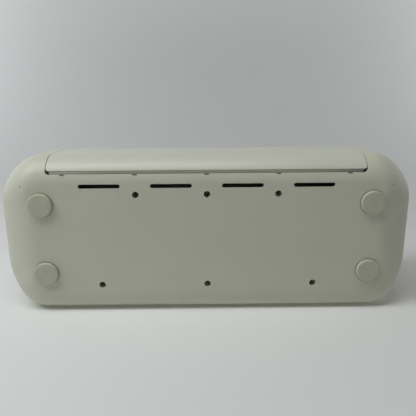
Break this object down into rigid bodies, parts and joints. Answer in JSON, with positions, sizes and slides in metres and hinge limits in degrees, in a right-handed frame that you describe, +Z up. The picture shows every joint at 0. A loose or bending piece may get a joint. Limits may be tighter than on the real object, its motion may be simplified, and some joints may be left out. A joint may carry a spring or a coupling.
{
  "type": "desktop cutting machine",
  "caption": "Free-standing desktop cutting plotter: rounded case with hinged lid and drop-down front door, mat drive roller and a two-tool carriage on a rail.",
  "frame": {"origin": "middle of the covered rectangle at table level, lid and door closed", "axes": "+X to the user's right, +Y to the back, +Z up"},
  "size_m": [0.563, 0.21, 0.15],
  "materials": {
    "case_plastic": "fine moulded grain, warm off-white",
    "door_plastic": "smooth satin, warm off-white",
    "liner_plastic": "fine grain, pale grey",
    "foot_rubber": "matt, slightly mottled",
    "dark_steel": "zinc plated",
    "frame_steel": "galvanised sheet",
    "rail_aluminium": "drawn, clear anodised",
    "motor_steel": "drawn can",
    "shaft_steel": "ground, bands knurled",
    "bush_brass": "sintered",
    "black_rubber": "matt",
    "dark_plastic": "fine grain",
    "carriage_plastic": "satin",
    "button_plastic": "satin",
    "board_green": "solder resist"
  },
  "bodies": {
    "case": {"base_housing": "case_plastic", "upper_housing": "case_plastic", "lid_hinge_pins": "dark_steel", "door_hinge_pins": "dark_steel", "foot_front_left": "foot_rubber", "foot_front_right": "foot_rubber", "foot_rear_left": "foot_rubber", "foot_rear_right": "foot_rubber", "housing_screws": "dark_steel", "cutting_deck": "liner_plastic", "mat_guides": "liner_plastic", "side_frame_left": "frame_steel", "roller_bush_left": "bush_brass", "side_frame_right": "frame_steel", "roller_bush_right": "bush_brass", "roller_motor": "motor_steel", "pinch_bar": "frame_steel", "pinch_pins": "dark_steel", "carriage_rail": "rail_aluminium", "drive_belt": "black_rubber", "belt_motor_bracket": "frame_steel", "idler_bracket": "frame_steel", "belt_motor": "motor_steel", "main_board": "board_green", "board_screws": "dark_steel", "power_jack": "dark_plastic", "usb_socket": "dark_plastic", "control_panel": "carriage_plastic", "button_board": "board_green", "tool_cup": "liner_plastic"},
    "lid": {"lid_shell": "door_plastic", "lid_liner": "liner_plastic"},
    "door": {"door_shell": "door_plastic", "door_liner": "liner_plastic"},
    "flap": {"compartment_flap": "liner_plastic"},
    "roller": {"drive_roller": "shaft_steel", "roller_gear": "dark_plastic"},
    "pinion": {"motor_pinion": "shaft_steel"},
    "pinch_left": {"pinch_roller_left": "black_rubber"},
    "pinch_right": {"pinch_roller_right": "black_rubber"},
    "pulley": {"belt_pulley": "rail_aluminium"},
    "idler": {"idler_pulley": "rail_aluminium"},
    "carriage": {"carriage_chassis": "dark_plastic", "carriage_glides": "dark_plastic", "belt_clip": "dark_plastic", "carriage_cover": "carriage_plastic", "tool_lift_motor": "motor_steel"},
    "tool_a": {"tool_holder_a": "dark_plastic", "lever_pin_a": "dark_steel", "accessory_adapter": "carriage_plastic"},
    "tool_b": {"tool_holder_b": "dark_plastic", "lever_pin_b": "dark_steel", "blade_housing": "rail_aluminium", "blade": "shaft_steel"},
    "lever_a": {"clamp_lever_a": "carriage_plastic"},
    "lever_b": {"clamp_lever_b": "carriage_plastic"},
    "power": {"power_button": "button_plastic"},
    "load": {"load_button": "button_plastic"},
    "go": {"go_button": "button_plastic"},
    "pause": {"pause_button": "button_plastic"}
  },
  "joints": [
    {"name": "lid_hinge", "type": "hinge", "parent": "case", "child": "lid", "pos_m": [0, 0.076, 0.1398], "axis": [-1, 0, 0], "range_deg": [0, 90]},
    {"name": "door_hinge", "type": "hinge", "parent": "case", "child": "door", "pos_m": [0, -0.09, 0.022], "axis": [1, 0, 0], "range_deg": [0, 90]},
    {"name": "flap_hinge", "type": "hinge", "parent": "door", "child": "flap", "pos_m": [-0.066, -0.09305, 0.1005], "axis": [1, 0, 0], "range_deg": [0, 90]},
    {"name": "roller_spin", "type": "hinge", "parent": "case", "child": "roller", "pos_m": [0, 0, 0.038], "axis": [1, 0, 0], "continuous": true},
    {"name": "pinion_spin", "type": "hinge", "parent": "case", "child": "pinion", "pos_m": [-0.2, 0.01715, 0.02554], "axis": [1, 0, 0], "continuous": true},
    {"name": "pinch_left_spin", "type": "hinge", "parent": "case", "child": "pinch_left", "pos_m": [-0.15, 0, 0.0527], "axis": [1, 0, 0], "continuous": true},
    {"name": "pinch_right_spin", "type": "hinge", "parent": "case", "child": "pinch_right", "pos_m": [0.15, 0, 0.0527], "axis": [1, 0, 0], "continuous": true},
    {"name": "carriage_slide", "type": "slide", "parent": "case", "child": "carriage", "axis": [1, 0, 0], "range_m": [-0.306, 0.006]},
    {"name": "pulley_spin", "type": "hinge", "parent": "case", "child": "pulley", "pos_m": [0.176, 0.046, 0.088], "axis": [0, 1, 0], "continuous": true},
    {"name": "idler_spin", "type": "hinge", "parent": "case", "child": "idler", "pos_m": [-0.176, 0.046, 0.088], "axis": [0, 1, 0], "continuous": true},
    {"name": "tool_a_lift", "type": "slide", "parent": "carriage", "child": "tool_a", "axis": [0, 0, 1], "range_m": [-0.007, 0], "stiffness_N_per_m": 150, "springref_m": 0.006},
    {"name": "lever_a_hinge", "type": "hinge", "parent": "tool_a", "child": "lever_a", "pos_m": [0.133, -0.0298, 0.071], "axis": [1, 0, 0], "range_deg": [0, 60]},
    {"name": "tool_b_lift", "type": "slide", "parent": "carriage", "child": "tool_b", "axis": [0, 0, 1], "range_m": [-0.007, 0], "stiffness_N_per_m": 150, "springref_m": 0.006},
    {"name": "lever_b_hinge", "type": "hinge", "parent": "tool_b", "child": "lever_b", "pos_m": [0.167, -0.0298, 0.071], "axis": [1, 0, 0], "range_deg": [0, 60]},
    {"name": "power_press", "type": "slide", "parent": "case", "child": "power", "axis": [0, 0, -1], "range_m": [0, 0.001], "stiffness_N_per_m": 400, "springref_m": -0.0005},
    {"name": "load_press", "type": "slide", "parent": "case", "child": "load", "axis": [0, 0, -1], "range_m": [0, 0.001], "stiffness_N_per_m": 400, "springref_m": -0.0005},
    {"name": "go_press", "type": "slide", "parent": "case", "child": "go", "axis": [0, 0, -1], "range_m": [0, 0.001], "stiffness_N_per_m": 400, "springref_m": -0.0005},
    {"name": "pause_press", "type": "slide", "parent": "case", "child": "pause", "axis": [0, 0, -1], "range_m": [0, 0.001], "stiffness_N_per_m": 400, "springref_m": -0.0005}
  ],
  "couplings": [
    {"joint": "pinion_spin", "follows": "roller_spin", "ratio": -2.5},
    {"joint": "pinch_left_spin", "follows": "roller_spin", "ratio": -1.4},
    {"joint": "pinch_right_spin", "follows": "roller_spin", "ratio": -1.4},
    {"joint": "pulley_spin", "follows": "carriage_slide", "rad_per_m": 144.93},
    {"joint": "idler_spin", "follows": "carriage_slide", "rad_per_m": 144.93}
  ]
}
